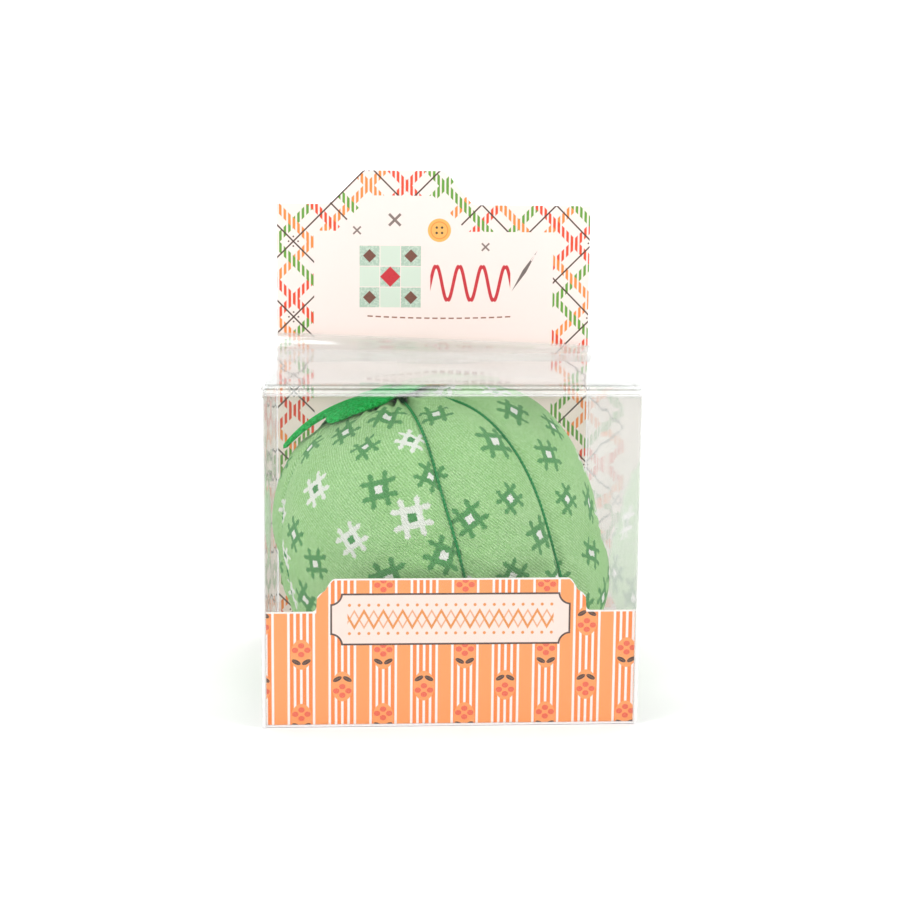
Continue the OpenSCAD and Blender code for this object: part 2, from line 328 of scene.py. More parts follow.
def striped_card():
    """Front panel: thin stripes, berry medallions and a framed plate with a herringbone stitch."""
    g = Graph("striped_card")
    where, x, y, z = g.place()
    column = 11.03
    first_column = -40.5
    rise = 17.8

    # bands of thin white and orange stripes on plain orange
    across = (x - first_column).wrapped(column)
    in_band = abs(across).inside(3.75)
    white = abs(across.wrapped(1.7)).inside(0.34, 0.12) * in_band
    colour = g.mix(in_band, ORANGE, STRIPE)
    colour = g.mix(white, colour, PAPER)

    # medallions stand on their heads in every other band
    number = ((x - first_column) / column + 0.5).floor()
    odd = abs(number.wrapped(2.0)).outside(0.5, 0.1)
    height = (z - 20.0 + odd * (rise / 2)).wrapped(rise)
    up = height * (1 - odd * 2)

    def oval(dx, dz, rx, rz, soft=0.12):
        return (((across - dx) / rx).power(2) + ((up - dz) / rz).power(2)).inside(1.0, soft)

    colour = g.mix(oval(0, 0, 2.85, 4.15, 0.08), colour, ORANGE)
    for dx, dz in ((0, 2.45), (-1.65, 1.25), (1.65, 1.25), (0, 0.05)):
        colour = g.mix(oval(dx, dz, 0.88, 0.76, 0.3), colour, CORAL)
    for side in (-1, 1):
        c, s = math.cos(math.radians(28) * side), math.sin(math.radians(28) * side)
        dx, dz = across - side * 1.35, up + 2.05
        u = dx * c + dz * s
        v = dz * c - dx * s
        leaf = ((u / 1.3).power(2) + (v / 0.6).power(2)).inside(1.0, 0.12)
        vein = abs(v + (u * 9).sine() * 0.05).inside(0.04, 0.08)
        colour = g.mix(leaf * (1 - vein * 0.4), colour, BROWN)

    # framed plate with scooped corners
    plate_x, plate_z, half_w, half_h, scoop = -0.25, 29.65, 32.45, 7.15, 2.9
    dx = abs(x - plate_x)
    dz = abs(z - plate_z)
    corner = ((dx - half_w).power(2) + (dz - half_h).power(2)).root()
    edge = (dx - half_w).most(dz - half_h).most(scoop - corner)
    colour = g.mix(edge.inside(0, 0.1), colour, BROWN)
    colour = g.mix(edge.inside(-0.5, 0.1), colour, LABEL)

    # a row of herringbone stitches with small knots along the plate
    stitch = 5.2
    zigzag = abs((x - plate_x).wrapped(stitch)) * (4 / stitch) - 1.0
    line = abs(z - plate_z - zigzag * 2.3).inside(0.62, 0.14)
    cross = abs(z - plate_z + zigzag * 2.3).inside(0.42, 0.14)
    knot = ((x - plate_x - stitch / 4).wrapped(stitch / 2).power(2)
            + (abs(z - plate_z) - 3.9).power(2)).root().inside(0.42, 0.14)
    run = dx.inside(half_w - 4.6, 0.1)
    colour = g.mix((line.most(cross * 0.75).most(knot)) * run, colour, rgb(232, 146, 62))

    # unprinted margin along the top edges, and the plain back
    foot = 36.4
    slope = (TAB_H - 5.2 + (foot - abs(x)) * 1.15).least(TAB_H)
    side_h = 31.8
    top = slope + (side_h - slope) * abs(x).outside(foot, 0.1)
    colour = g.mix(z.outside(top - 0.42, 0.1), colour, PAPER)
    colour = g.mix(y.outside(CARD_FRONT_FACE + 0.15, 0.05), colour, CARD_BACK)
    card_finish(g, where, colour)
    return g.material


def plaid(g, x, z):
    """Colour of a diagonal plaid: dashed bands in three colours, thin brown lines and dots."""
    step = 8.46                                 # from band to band, straight across them
    cross_x, bands_z, lines_z = -44.75, 133.4, 127.6    # where two bands and two lines cross
    colour = BLUSH
    dash = abs((x + 0.2).wrapped(1.43)).inside(0.42, 0.14)
    for direction, shift in ((1, 0), (-1, 1)):
        along = (x - cross_x - (z - bands_z) * direction) * math.sqrt(0.5)
        band = abs(along.wrapped(step)).inside(1.2, 0.15)
        number = (along / step + 0.5).floor() + shift
        third = (number / 3).fraction() * 3
        tone = g.mix(third.outside(0.5, 0.1), PLAID_GREEN, PLAID_ORANGE)
        tone = g.mix(third.outside(1.5, 0.1), tone, PLAID_RED)
        colour = g.mix(band * dash, colour, tone)
    for direction in (1, -1):
        along = (x - cross_x - (z - lines_z) * direction) * math.sqrt(0.5)
        colour = g.mix(abs(along.wrapped(2 * step)).inside(0.24, 0.12), colour, BROWN)

    # four small dots round each crossing of the brown lines
    u = (x - cross_x).wrapped(2 * step * math.sqrt(2))
    v = (z - lines_z).wrapped(2 * step * math.sqrt(2))
    for dx, dz in ((1.5, 0), (-1.5, 0), (0, 1.5), (0, -1.5)):
        dot = ((u - dx).power(2) + (v - dz).power(2)).root().inside(0.28, 0.12)
        colour = g.mix(dot, colour, BROWN)
    return colour


def header_card():
    """Back panel and header: a plaid border round a patchwork block, thread, needle and button."""
    g = Graph("header_card")
    where, x, y, z = g.place()
    shoulder = 139.4

    # the plaid runs down both sides and along the shoulders and the raised top
    dome = ((x + 10.3).power(2) + 0.01).root()
    inner_top = 131.0 + (21.0 - dome).most(0.0).least(HEADER_TOP - shoulder + 0.6)
    border = abs(x).outside(38.2, 0.1).most(z.outside(inner_top, 0.1))
    colour = g.mix(border, BLUSH, plaid(g, x, z))

    def ink(shape, tone):
        nonlocal colour
        colour = g.mix(shape, colour, tone)

    def bar(cx, cz, half_w, half_h, turn=0.0):
        c, s = math.cos(turn), math.sin(turn)
        u = (x - cx) * c + (z - cz) * s
        v = (z - cz) * c - (x - cx) * s
        return abs(u).inside(half_w, 0.12) * abs(v).inside(half_h, 0.12)

    def disc(cx, cz, r):
        return ((x - cx).power(2) + (z - cz).power(2)).root().inside(r, 0.12)

    # nine-patch block in speckled mint, with brown corners and a red heart
    block_x, block_z, patch = -14.0, 116.6, 6.6
    speckle = g.noise(where, 1.9, 2.0).outside(0.52, 0.12)
    mint = g.mix(speckle * 0.6, MINT, MINT_LIGHT)
    for i in (-1, 0, 1):
        for j in (-1, 0, 1):
            cx, cz = block_x + i * patch, block_z + j * patch
            plain = (i + j) % 2
            ink(bar(cx, cz, patch / 2 - 0.12, patch / 2 - 0.12), MINT_LIGHT if plain else mint)
            if not plain and (i or j):
                ink(bar(cx, cz, 1.5, 1.5, math.radians(45)), rgb(116, 66, 52))
    ink(bar(block_x, block_z, 2.3, 2.3, math.radians(45)), RED)

    # a waving red thread that ends in a slim needle
    start, end, wave, middle, swing = -1.2, 24.5, 7.4, 114.6, 5.2
    phase = (x - start) * (2 * math.pi / wave)
    slope = (phase + math.pi / 2).sine() * (swing * 2 * math.pi / wave)
    apart = abs(z - middle - phase.sine() * swing) / (slope.power(2) + 1.0).root()
    run = x.outside(start, 0.1) * x.inside(end, 0.1)
    ink(apart.inside(0.55, 0.14) * run, RED)
    c, s, half_needle = math.cos(math.radians(58)), math.sin(math.radians(58)), 7.6
    dx, dz = x - 29.0, z - 118.6
    u = dx * c + dz * s
    v = dz * c - dx * s
    needle = abs(v) - (half_needle - abs(u)).most(0.0) * 0.085
    ink(needle.inside(0.0, 0.12) * abs(u).inside(half_needle, 0.1), rgb(112, 100, 96))
    ink(((u - 5.0) / 1.1).power(2).most((v / 0.16).power(2)).inside(1.0, 0.3), BLUSH)

    # an orange button with a rim and four holes
    button_x, button_z = 1.6, 131.4
    ink(disc(button_x, button_z, 3.7), GOLD)
    ink(disc(button_x, button_z, 2.8) * (1 - disc(button_x, button_z, 2.5)), PLAID_ORANGE)
    for dx in (-0.85, 0.85):
        for dz in (-0.85, 0.85):
            ink(disc(button_x + dx, button_z + dz, 0.38), BROWN)

    # small cross stitches and a running stitch under the block
    for cx, cz, reach in ((-24.6, 131.2, 1.7), (-12.6, 134.6, 2.6), (16.4, 126.2, 1.7)):
        for turn in (45, -45):
            ink(bar(cx, cz, reach, reach * 0.16, math.radians(turn)), rgb(132, 116, 110))
    sag = z - 103.4 - (x - 2.0).power(2) * 0.0012
    dash = abs((x - 0.4).wrapped(2.6)).inside(0.85, 0.12)
    ink(abs(sag).inside(0.22, 0.12) * dash * abs(x - 1.5).inside(23.5, 0.1), rgb(150, 92, 70))

    colour = g.mix(y.outside(CARD_BACK_FACE + 0.15, 0.05), colour, CARD_BACK)
    card_finish(g, where, colour)
    return g.material


def plain_card():
    g = Graph("plain_card")
    where, _, _, _ = g.place()
    card_finish(g, where, BLUSH)
    return g.material


def printed_cotton():
    """Quilting cotton: fine weave, and a hash-shaped motif read from the 'print' UV map."""
    g = Graph("printed_cotton")
    where, _, _, _ = g.place()
    spot, s, t = g.uv("print")
    _, kind, shade = g.uv("kind")
    _, warp, weft = g.uv("weave")

    # printed edges wander a little with the weave
    wander = g.noise(spot, 1.3, 2.0)
    ragged = g.noise(where, 2.4, 2.0)
    s = s + (wander - 0.5) * 0.8 + (ragged - 0.5) * 0.9
    t = t + (0.5 - wander) * 0.8 + (ragged - 0.5) * 0.9

    # the motif: eight arms, two on each side, round a ring with a heart in the other colour
    size = shade * 0.3 + 0.87
    a = abs(s).most(abs(t)) * size
    b = abs(s).least(abs(t)) * size
    arm_at, arm_end, ring_r, ring_half_w, heart_r = 1.7, 5.0, 1.8, 0.85, 1.05
    arm = abs(b - arm_at - (a - arm_at).most(0.0) * 0.13)
    flare = (a - 2.5).most(0.0) * 0.12 + 0.56
    arms = (arm - flare).inside(0, 0.3) * (a + arm * 0.9).inside(arm_end, 0.3)
    ring = (abs(a - ring_r) - ring_half_w).inside(0, 0.25)
    bars = arms.most(ring)
    heart = a.inside(heart_r, 0.2)

    # twill lines, slubs and broad variation of the ground
    twill_pitch, thread_pitch = 0.86, 0.5
    twill = ((warp * 0.72 + weft) * (2 * math.pi / twill_pitch)).sine()
    turns = 2 * math.pi / thread_pitch
    thread = (warp * turns).sine() * (weft * turns).sine()
    slub = g.noise(where, 1.1, 5.0, 0.7)
    cloud = g.noise(where, 0.05, 2.0)
    ground = g.mix((slub * 1.8 - 0.55 + (cloud - 0.5) * 0.8).clamped(), COTTON, COTTON_LIGHT)
    grain = g.noise(where, 2.1, 3.0, 0.8)
    ground = g.mix((grain * 5.0 - 2.3).clamped() * 0.55, ground, rgb(104, 176, 92))
    ground = g.mix((2.3 - grain * 5.0).clamped() * 0.5, ground, rgb(230, 250, 212))
    ground = g.mix((twill * 0.30 + 0.18).clamped(), ground, rgb(118, 184, 100))

    green = g.mix((slub * 1.6 - 0.45).clamped() * 0.6, MOTIF_GREEN, rgb(112, 184, 112))
    white = g.mix((slub * 0.25).clamped(), MOTIF_WHITE, rgb(214, 232, 206))
    is_white = kind.outside(0.5, 0.1)
    colour = g.mix(bars * 0.94, ground, g.mix(is_white, green, white))
    colour = g.mix(heart, colour, g.mix(is_white, white, green))

    relief = twill * 0.6 + thread * 0.5 + grain * 2.2
    cloth = g.noise(where, 0.22, 3.0)
    normal = g.bump(relief, 0.16)
    normal = g.bump(cloth, 0.35, normal=normal)
    g.surface(colour, 0.88, normal, Sheen_Weight=0.12, Sheen_Roughness=0.45,
              Specular_IOR_Level=0.22)
    return g.material


def green_floss():
    g = Graph("green_floss")
    where, _, _, _ = g.place()
    _, around, along = g.uv("strand")
    fibre = ((around * 6 + along * 1.6) * 2 * math.pi).sine()
    patch = g.noise(where, 0.5, 3.0)
    colour = g.mix((fibre * 0.3 + 0.3 + patch * 0.3).clamped(), FLOSS, rgb(44, 172, 92))
    g.surface(colour, 0.55, g.bump(fibre + patch, 0.03), Specular_IOR_Level=0.3)
    return g.material


def green_felt():
    """Felt: short fibres in every direction, light and dark flecks and a soft, dusty sheen."""
    g = Graph("green_felt")
    where, _, _, _ = g.place()
    tuft = g.noise(where, 1.0, 2.0)
    fleck = g.noise(where, 2.0, 1.0)
    cloud = g.noise(where, 0.3, 2.0)
    colour = g.mix((tuft * 3.6 - 1.4 + (cloud - 0.5) * 0.8).clamped(), FELT, FELT_LIGHT)
    colour = g.mix((fleck * 6.0 - 3.4).clamped() * 0.45, colour, rgb(96, 232, 140))
    colour = g.mix((2.6 - fleck * 6.0).clamped() * 0.5, colour, rgb(0, 104, 44))
    relief = tuft * 1.4 + fleck * 1.2 + g.noise(where, 5.0, 2.0) * 0.4
    g.surface(colour, 0.95, g.bump(relief, 0.6), Sheen_Weight=0.08, Sheen_Roughness=0.5,
              Sheen_Tint=(0.25, 0.9, 0.45, 1), Specular_IOR_Level=0.0)
    return g.material


def paint(node_or_piece, material):
    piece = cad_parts[node_or_piece] if isinstance(node_or_piece, str) else node_or_piece
    piece.data.materials.clear()
    piece.data.materials.append(material)


# ---- the pincushion's form -------------------------------------------------------------------


def leaned(points):
    """Points drawn round an upright pole, turned to the leaning one."""
    x, y, z = points[..., 0], points[..., 1], points[..., 2]
    c, s = math.cos(POLE_LEAN), math.sin(POLE_LEAN)
    return np.stack([x * c - z * s, y, x * s + z * c], axis=-1)


def profile(t):
    """Radius and height of the upright form and of its outward normal, t radians from the pole."""
    h = np.where(t < math.pi / 2, CROWN_H, FOOT_H)
    n = np.where(t < math.pi / 2, CROWN_FULLNESS, FOOT_FULLNESS)
    sin_t = np.maximum(np.sin(t), 1e-6)
    cos_t = np.cos(t)
    k = ((sin_t / WAIST_R) ** n + (np.abs(cos_t) / h) ** n) ** (-1 / n)
    r, z = k * sin_t, k * cos_t
    nr = (r / WAIST_R) ** (n - 1) / WAIST_R
    nz = np.sign(z) * (np.abs(z) / h) ** (n - 1) / h
    size = np.hypot(nr, nz)
    return r, z, nr / size, nz / size


def angle_apart(a, b):
    return (a - b + math.pi) % (2 * math.pi) - math.pi


def relief(a, t):
    """How far the sewn cover stands out of the plain form, in millimetres."""
    r = profile(t)[0]
    nearest = np.min([np.abs(angle_apart(a, w)) for w in WRAP_AT], axis=0) * r
    groove = -0.95 * np.exp(-(nearest / 1.4) ** 2) - 0.75 * np.exp(-(nearest / 6.0) ** 2)
    puff = 0.35 * np.clip(nearest / 14.0, 0, 1)
    pole = np.exp(-((t - 0.22) / 0.24) ** 2) + np.exp(-((math.pi - t - 0.1) / 0.24) ** 2)
    pleat = np.sin(a * 23 + 1.4 * np.sin(a * 3 + 0.6)) + 0.6 * np.sin(a * 41 + 2.0 * np.sin(a * 2))
    dimple = -3.4 * np.exp(-(t / 0.085) ** 2) - 4.2 * np.exp(-((math.pi - t) / 0.13) ** 2)
    return groove + puff + pole * pleat * 0.6 + dimple


def form_point(a, t, out):
    """Points at direction a and t radians from the pole, moved out of the plain form by out."""
    r, z, nr, nz = profile(t)
    r, z = r + nr * out, z + nz * out
    return leaned(np.stack([r * np.cos(a), r * np.sin(a), z], axis=-1)) + WAIST_C


def cover_point(a, t, up=0.0):
    """Points on the sewn cover at direction a and t radians from the pole, moved out by up."""
    a, t = np.broadcast_arrays(np.asarray(a, float), np.asarray(t, float))
    points = form_point(a, t, relief(a, t) + up)
    # the foot is pressed flat, with a small rounded edge
    base = FOOT_Z - up
    blend = 1.6
    lift = points[..., 2] - base
    points[..., 2] = base + 0.5 * (lift + np.sqrt(lift ** 2 + blend ** 2)) - blend / 2 * np.exp(
        -np.maximum(lift, 0) / 3)
    points[..., 2] = np.maximum(points[..., 2], base)
    return points


# ---- mesh helpers ----------------------------------------------------------------------------


def mesh_object(name, verts, faces):
    """A smooth mesh object from points in millimetres."""
    mesh = bpy.data.meshes.new(name)
    mesh.from_pydata([tuple(v) for v in np.asarray(verts) * MM], [], faces)
    mesh.validate()
    mesh.polygons.foreach_set("use_smooth", [True] * len(mesh.polygons))
    piece = bpy.data.objects.new(name, mesh)
    bpy.context.collection.objects.link(piece)
    return piece


def grid_faces(rows, columns):
    """Quads of a grid whose last column runs on into its first one."""
    faces = []
    for i in range(rows - 1):
        for j in range(columns):
            k = (j + 1) % columns
            faces.append((i * columns + j, (i + 1) * columns + j,
                          (i + 1) * columns + k, i * columns + k))
    return faces


def corner_verts(mesh):
    """The number of the point at each face corner."""
    corners = np.empty(len(mesh.loops), int)
    mesh.loops.foreach_get("vertex_index", corners)
    return corners


def set_uv(piece, name, values):
    """A UV map from one pair of numbers for each face corner."""
    layer = piece.data.uv_layers.new(name=name)
    layer.data.foreach_set("uv", np.asarray(values, float).ravel())


# ---- printed cover ---------------------------------------------------------------------------


def motif_places():
    """Centres of the printed motifs: spread evenly over the cover, none too close to another."""
    rng = random.Random(23)
    chosen = []
    for gap, tries in ((12.3, 3500), (11.5, 1500)):
        for _ in range(tries):
            t = math.acos(rng.uniform(-1, 1))
            a = rng.uniform(0, 2 * math.pi)
            point = cover_point(a, t)
            if all(np.linalg.norm(point - c[0]) > gap for c in chosen):
                turn = rng.uniform(0, math.pi / 2)
                chosen.append((point, a, t, turn, rng.random() < 0.17, rng.random()))
    return chosen


def grid_angles(rows, columns):
    t = np.linspace(0.012, math.pi - 0.012, rows)[:, None]
    a = np.linspace(0, 2 * math.pi, columns, endpoint=False)[None, :]
    return np.broadcast_arrays(a, t)


def pressed_out(rows, columns):
    """How the filling moves the cover: a cloth blown up a little from inside, held by the wraps,
    by the gathers at both poles and by the base it stands on."""
    a, t = grid_angles(rows, columns)
    rest = cover_point(a, t)
    cloth = mesh_object("cloth_pass", rest.reshape(-1, 3), grid_faces(rows, columns))
    near_wrap = np.min([np.abs(angle_apart(a, w)) for w in WRAP_AT], axis=0) * profile(t)[0] < 2.0
    held = near_wrap | (t < 0.2) | (t > math.pi - 0.2) | (rest[..., 2] < FOOT_Z + 0.6)
    pins = cloth.vertex_groups.new(name="pins")
    pins.add(np.flatnonzero(held.ravel()).tolist(), 1.0, "REPLACE")
    modifier = cloth.modifiers.new("cloth", "CLOTH")
    settings = modifier.settings
    settings.vertex_group_mass = "pins"
    settings.quality = 6
    settings.mass = 0.1
    settings.tension_stiffness = 12
    settings.compression_stiffness = 12
    settings.shear_stiffness = 6
    settings.bending_stiffness = 0.02
    settings.shrink_min = -0.02
    settings.use_pressure = True
    settings.uniform_pressure_force = 1.5
    settings.effector_weights.gravity = 0
    frames = 20
    modifier.point_cache.frame_end = frames
    scene = bpy.context.scene
    for step in range(1, frames + 1):
        scene.frame_set(step)
    solved = cloth.evaluated_get(bpy.context.evaluated_depsgraph_get()).data
    flat = np.empty(rows * columns * 3)
    solved.vertices.foreach_get("co", flat)
    moved = flat.reshape(rows, columns, 3) / MM - rest
    scene.frame_set(1)
    bpy.data.objects.remove(cloth)
    most = 0.75
    size = np.linalg.norm(moved, axis=2, keepdims=True)
    return moved * np.minimum(1, most / np.maximum(size, 1e-9))


def spread(coarse, rows, columns):
    """A coarse grid of moves read at every point of a finer one, round the closed direction."""
    r = np.linspace(0, coarse.shape[0] - 1, rows)[:, None]
    c = np.arange(columns)[None, :] * coarse.shape[1] / columns
    r0 = np.minimum(r.astype(int), coarse.shape[0] - 2)
    c0 = c.astype(int)
    c1 = (c0 + 1) % coarse.shape[1]
    dr, dc = (r - r0)[..., None], (c - c0)[..., None]
    near = coarse[r0, c0] * (1 - dc) + coarse[r0, c1] * dc
    far = coarse[r0 + 1, c0] * (1 - dc) + coarse[r0 + 1, c1] * dc
    return near * (1 - dr) + far * dr


def cushion_cover():
    rows, columns = 220, 440
    a, t = grid_angles(rows, columns)
    drawn = cover_point(a, t)
    points = drawn.copy()
    points += spread(pressed_out(80, 160), rows, columns)
    side = INNER_HALF_W - 0.12                  # just clear of the film
    points[..., 0] = np.clip(points[..., 0], -side, side)
    points[..., 2] = np.maximum(points[..., 2], FOOT_Z)
    verts = points.reshape(-1, 3)
    faces = grid_faces(rows, columns)
    top = len(verts)
    verts = np.vstack([verts, points[0].mean(axis=0), points[-1].mean(axis=0)])
    faces += [(top, j, (j + 1) % columns) for j in range(columns)]
    last = (rows - 1) * columns
    faces += [(top + 1, last + (j + 1) % columns, last + j) for j in range(columns)]
    cover = mesh_object("cotton_cover", verts, faces)
    drawn = np.vstack([drawn.reshape(-1, 3), verts[-2:]])
    print_cover(cover, drawn)
    return cover


def print_cover(cover, verts):
    """Lays the print and the weave on the cover, each face reading the motif nearest to it.
    verts are the cover's points as drawn, before the filling moves them."""
    mesh = cover.data
    corner_vert = corner_verts(mesh)
    corner_face = np.repeat(np.arange(len(mesh.polygons)), [p.loop_total for p in mesh.polygons])
    centres = np.empty(len(mesh.polygons) * 3)
    mesh.polygons.foreach_get("center", centres)
    centres = centres.reshape(-1, 3) / MM
    motifs = motif_places()
    spots = np.array([m[0] for m in motifs])
    nearest = np.empty(len(centres), int)
    batch = 20000
    for first in range(0, len(centres), batch):
        part = centres[first:first + batch]
        nearest[first:first + batch] = np.argmin(
            np.linalg.norm(part[:, None] - spots[None], axis=2), axis=1)

    # each motif's own flat axes: east round the pole, and up towards it
    frames = []
    for point, a, t, turn, _, _ in motifs:
        east = cover_point(a + 0.05, t) - cover_point(a - 0.05, t)
        north = cover_point(a, t - 0.05) - cover_point(a, t + 0.05)
        east /= np.linalg.norm(east)
        north -= east * (north @ east)
        north /= np.linalg.norm(north)
        c, s = math.cos(turn), math.sin(turn)
        frames.append((east * c + north * s, north * c - east * s))
    frames = np.array(frames)
    mine = nearest[corner_face]
    offset = verts[corner_vert] - spots[mine]
    flat = np.stack([(offset * frames[mine, 0]).sum(1), (offset * frames[mine, 1]).sum(1)], axis=1)
    reach = np.linalg.norm(flat, axis=1, keepdims=True)
    true_reach = np.linalg.norm(offset, axis=1, keepdims=True)
    set_uv(cover, "print", flat * true_reach / np.maximum(reach, 1e-6))
    kinds = np.array([[1.0 if m[4] else 0.0, m[5]] for m in motifs])
    set_uv(cover, "kind", kinds[mine])
    upright = verts[corner_vert] - WAIST_C
    angle = np.arctan2(upright[:, 1], upright[:, 0])
    start = np.arctan2(*(centres[corner_face] - WAIST_C)[:, 1::-1].T)
    angle = start + angle_apart(angle, start)
    set_uv(cover, "weave", np.stack([angle * WAIST_R, upright[:, 2]], axis=1))


# ---- threads ---------------------------------------------------------------------------------


def directions(path, closed):
    """The way a path runs at each of its points."""
    if closed:
        along = np.roll(path, -1, axis=0) - np.roll(path, 1, axis=0)
    else:
        along = np.gradient(path, axis=0)
    return along / np.linalg.norm(along, axis=1, keepdims=True)


def tube(path, radius, sides, closed):
    """Points and faces of a tube along a path."""
    count = len(path)
    along = directions(path, closed)
    side = np.cross(along[0], [0.3, 0.2, 1.0])
    side /= np.linalg.norm(side)
    verts = []
    for p, d in zip(path, along):
        side = side - d * (side @ d)
        side /= np.linalg.norm(side)
        other = np.cross(d, side)
        for k in range(sides):
            c = 2 * math.pi * k / sides
            verts.append(p + radius * (math.cos(c) * side + math.sin(c) * other))
    rings = count + 1 if closed else count
    faces = []
    for i in range(rings - 1):
        for j in range(sides):
            k = (j + 1) % sides
            a, b = i * sides, (i + 1) % count * sides
            faces.append((a + j, a + k, b + k, b + j))
    if not closed:
        faces.append(tuple(range(sides))[::-1])
        faces.append(tuple((count - 1) * sides + j for j in range(sides)))
    return verts, faces


def twisted(name, routes, strand_r, twist, closed=False):
    """Two-ply threads along routes, with a full turn every twist millimetres, as one piece."""
    plies, sides = 2, 7
    verts, faces = [], []
    for route in routes:
        length = np.concatenate([[0], np.cumsum(np.linalg.norm(np.diff(route, axis=0), axis=1))])
        along = directions(route, closed)
        side = np.cross(along, [0.31, 0.17, 0.93])
        side /= np.linalg.norm(side, axis=1, keepdims=True)
        other = np.cross(along, side)
        turns = max(1, round(length[-1] / twist))
        for ply in range(plies):
            angle = 2 * math.pi * (length / length[-1] * turns + ply / plies)
            strand = route + strand_r * 0.92 * (np.cos(angle)[:, None] * side
                                                + np.sin(angle)[:, None] * other)
            strand_verts, strand_faces = tube(strand, strand_r, sides, closed)
            start = len(verts)
            verts += strand_verts
            faces += [tuple(i + start for i in face) for face in strand_faces]
    piece = mesh_object(name, verts, faces)
    corners = corner_verts(piece.data)
    set_uv(piece, "strand", np.stack([(corners % sides) / sides, (corners // sides) * 0.35], axis=1))
    return piece


def floss_wraps():
    """Six doubled strands of floss sunk in the cover's grooves, pole to pole."""
    t = np.linspace(0.13, math.pi - 0.13, 330)
    routes = []
    for i, a in enumerate(WRAP_AT):
        drift = 0.012 * np.sin(t * 2.3 + i) + 0.004 * np.sin(t * 9 + 2 * i)
        routes.append(cover_point(a + drift, t, 0.30))
    return twisted("floss_wraps", routes, 0.25, 2.6)


def height_on_pole(node):
    """Height along the pole, from the waist, of a small node that sits round it."""
    centre = (low(node) + high(node)) / 2 - WAIST_C
    return centre[2] * math.cos(POLE_LEAN) - centre[0] * math.sin(POLE_LEAN)


def gathers():
    """Rings of gathering thread in the dimples at both poles."""
    a = np.linspace(0, 2 * math.pi, 120, endpoint=False)
    rings = []
    for node in ("top_gather_thread", "bottom_gather_thread"):
        height = height_on_pole(node) + 0.15 * np.sin(a * 9)
        ring = np.stack([GATHER_R * np.cos(a), GATHER_R * np.sin(a), height], axis=-1)
        rings.append(leaned(ring) + WAIST_C)
    return twisted("gathering_threads", rings, 0.2, 2.1, closed=True)


def calyx_stitches():
    """A cross of doubled thread over the middle of the calyx."""
    top = CROWN_H + 2.75
    routes = []
    half_length = 2.5
    share = np.linspace(-1, 1, 40)
    for k, turn in enumerate(np.radians([35, 125])):
        height = top + 0.35 * k - 1.5 * np.abs(share) ** 3
        reach = half_length * share
        route = np.stack([reach * math.cos(turn), reach * math.sin(turn), height], axis=-1)
        routes.append(leaned(route) + WAIST_C)
    return twisted("calyx_stitches", routes, 0.24, 2.0)


# ---- felt calyx ------------------------------------------------------------------------------

# Each lobe: direction in degrees, reach, half width, lift of its tip and bluntness
LOBES = [
    (181, 37.5, 4.6, 2.2, 3.0),
    (214, 25.0, 8.0, 1.2, 9.0),
    (292, 13.0, 5.0, 0.3, 3.0),
    (357, 30.0, 5.0, 0.4, 3.5),
    (50, 25.0, 5.2, 0.6, 3.5),
    (115, 27.0, 5.0, 0.8, 3.5),
]
FELT_T = 1.35
FELT_UP = 0.85                                  # from the plain form to the felt's underside
FELT_BEND_R = 52.0                              # of the crown under the felt


def felt_outline(angle):
    """How far the felt reaches at each angle: a small disc with the lobes round it."""
    reach = np.full(len(angle), 7.2)
    for direction, length, half_w, _, blunt in LOBES:
        apart = np.abs(angle_apart(angle, math.radians(direction)))
        across = np.sin(np.minimum(apart, math.pi / 2))
        # the lobe's outline: a long oval whose far half narrows to a blunt point
        for r in np.linspace(3.0, length, 220):
            share = r / length
            width = half_w * (1 - share ** blunt) ** 0.75 * (0.72 + 0.5 * math.sin(share * math.pi))
            reach = np.where((r * across < width) & (apart < math.pi / 2), np.maximum(reach, r), reach)
    smooth = np.array([np.roll(reach, k) for k in (-2, -1, 0, 1, 2)]).mean(axis=0)
    # the cut edge of felt is a little fuzzy
    return smooth + np.random.default_rng(5).uniform(-0.16, 0.16, len(angle))


def felt_rise(angle, r, share):
    """How far the felt lifts off the crown: its tips, and ripples as it drapes between lobes."""
    rise = 0.25 * np.sin(angle * 11 + 0.8) * np.clip(share - 0.2, 0, 1)
    for direction, length, _, tip_lift, _ in LOBES:
        near = np.exp(-(angle_apart(angle, math.radians(direction)) / 0.35) ** 2)
        rise = rise + near * tip_lift * (r / length) ** 1.6
    return rise


def calyx():
    """Felt star cut from one piece, its flat size and its flat area."""
    count, rings = 360, 44
    angle = np.linspace(0, 2 * math.pi, count, endpoint=False)
    outline = felt_outline(angle)
    sheets = []
    for face in (-1, 1):
        for i in range(rings):
            share = (i / (rings - 1)) ** 0.9
            r = outline * share
            # rounded cut edge
            edge = np.clip((outline - r) / 0.7, 0, 1)
            half = FELT_T / 2 * np.sqrt(1 - (1 - edge) ** 2)
            up = FELT_UP + FELT_T / 2 + felt_rise(angle, r, share) + half * face
            t = np.clip(r / FELT_BEND_R, 1e-4, 1.2)
            sheets.append(form_point(angle, t, up))
    sheets = np.array(sheets).reshape(2, rings, count, 3)

    # both faces share the ring at the cut edge, and each closes in one point at the middle
    inner = rings - 2
    verts = np.concatenate([sheets[:, 1:-1].reshape(-1, 3), sheets[0, -1], sheets[:, 0, 0]])
    rim = 2 * inner * count
    faces = []
    for face in (0, 1):
        starts = [(face * inner + i) * count for i in range(inner)] + [rim]
        middle = rim + count + face
        for j in range(count):
            k = (j + 1) % count
            strip = [(middle, starts[0] + j, starts[0] + k)]
            strip += [(a + j, b + j, b + k, a + k) for a, b in zip(starts, starts[1:])]
            faces += strip if face else [corners[::-1] for corners in strip]
    leaf = mesh_object("felt_calyx", verts, faces)
    across, along = outline * np.cos(angle), outline * np.sin(angle)
    area = 0.5 * abs(np.sum(across * np.roll(along, -1) - along * np.roll(across, -1)))
    return leaf, (np.ptp(across) * MM, np.ptp(along) * MM), area * MM * MM


